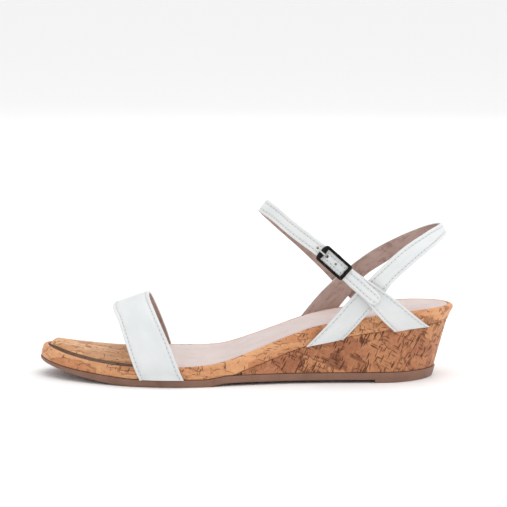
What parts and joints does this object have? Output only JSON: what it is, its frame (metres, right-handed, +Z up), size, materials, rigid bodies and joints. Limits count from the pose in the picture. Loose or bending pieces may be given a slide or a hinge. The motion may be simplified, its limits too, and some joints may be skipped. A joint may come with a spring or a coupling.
{
  "type": "wedge sandal",
  "caption": "Left sandal with a low cork-covered wedge sole, a toe strap, a heel sling and an ankle strap that unbuckles.",
  "frame": {"origin": "the middle of the sandal's box, on the ground it stands on", "axes": "+X from the toe to the heel, +Y towards the inner side of the foot, +Z up"},
  "size_m": [0.245, 0.0912, 0.1051],
  "materials": {
    "outsole_rubber": "smooth matt brown rubber",
    "cork_core": "pressed cork grains",
    "cork_wrap": "natural cork sheet with dark pores, satin",
    "cork_rim": "natural cork strip with dark pores, satin",
    "cork_cover": "natural cork sheet with lengthwise streaks, satin",
    "leatherboard": "pressed fibre board, matt",
    "spring_steel": "plain steel",
    "foam": "open foam, matt",
    "sock_leather": "pale pink-beige leather, soft satin",
    "lining_leather": "taupe lining leather, matt",
    "webbing": "woven tape",
    "white_leather": "white leather, fine grain, satin",
    "gunmetal": "dark gunmetal plating, polished",
    "bright_steel": "bright plated steel"
  },
  "bodies": {
    "root": {"heel_top_lift": "outsole_rubber", "outsole": "outsole_rubber", "wedge_core": "cork_core", "wedge_cork_wrap": "cork_wrap", "forepart_filler": "cork_core", "insole_board": "leatherboard", "steel_shank": "spring_steel", "heel_nail_1": "spring_steel", "heel_nail_2": "spring_steel", "heel_nail_3": "spring_steel", "heel_nail_4": "spring_steel", "heel_nail_5": "spring_steel", "footbed_foam": "foam", "rim_cork_wrap": "cork_rim", "toe_cork_cover": "cork_cover", "sock_lining": "sock_leather", "toe_strap_lining": "lining_leather", "toe_strap_tape": "webbing", "toe_strap_outer": "white_leather", "heel_sling_lining": "lining_leather", "heel_sling_tape": "webbing", "heel_sling_outer": "white_leather", "buckle_strap_lining": "lining_leather", "buckle_strap_outer": "white_leather"},
    "ankle_strap": {"ankle_strap_lining": "lining_leather", "ankle_strap_outer": "white_leather"},
    "buckle": {"buckle_frame": "gunmetal", "buckle_pin": "gunmetal"},
    "prong": {"buckle_prong": "bright_steel"}
  },
  "joints": [
    {"name": "ankle_strap_open", "type": "hinge", "parent": "root", "child": "ankle_strap", "pos_m": [0.08, 0.0335, 0.043], "axis": [-1, 0, 0], "range_deg": [0, 105], "deforming": ["ankle_strap_lining", "ankle_strap_outer"]},
    {"name": "buckle_swing", "type": "hinge", "parent": "root", "child": "buckle", "pos_m": [0.05147, -0.03341, 0.07251], "axis": [-0.6691, 0, -0.7431], "range_deg": [0, 35]},
    {"name": "prong_swing", "type": "hinge", "parent": "buckle", "child": "prong", "pos_m": [0.05147, -0.03341, 0.07251], "axis": [0.6691, 0, 0.7431], "range_deg": [0, 63]}
  ],
  "couplings": [
    {"joint": "buckle_swing", "follows": "ankle_strap_open", "ratio": 0.33333},
    {"joint": "prong_swing", "follows": "ankle_strap_open", "ratio": 0.6}
  ]
}
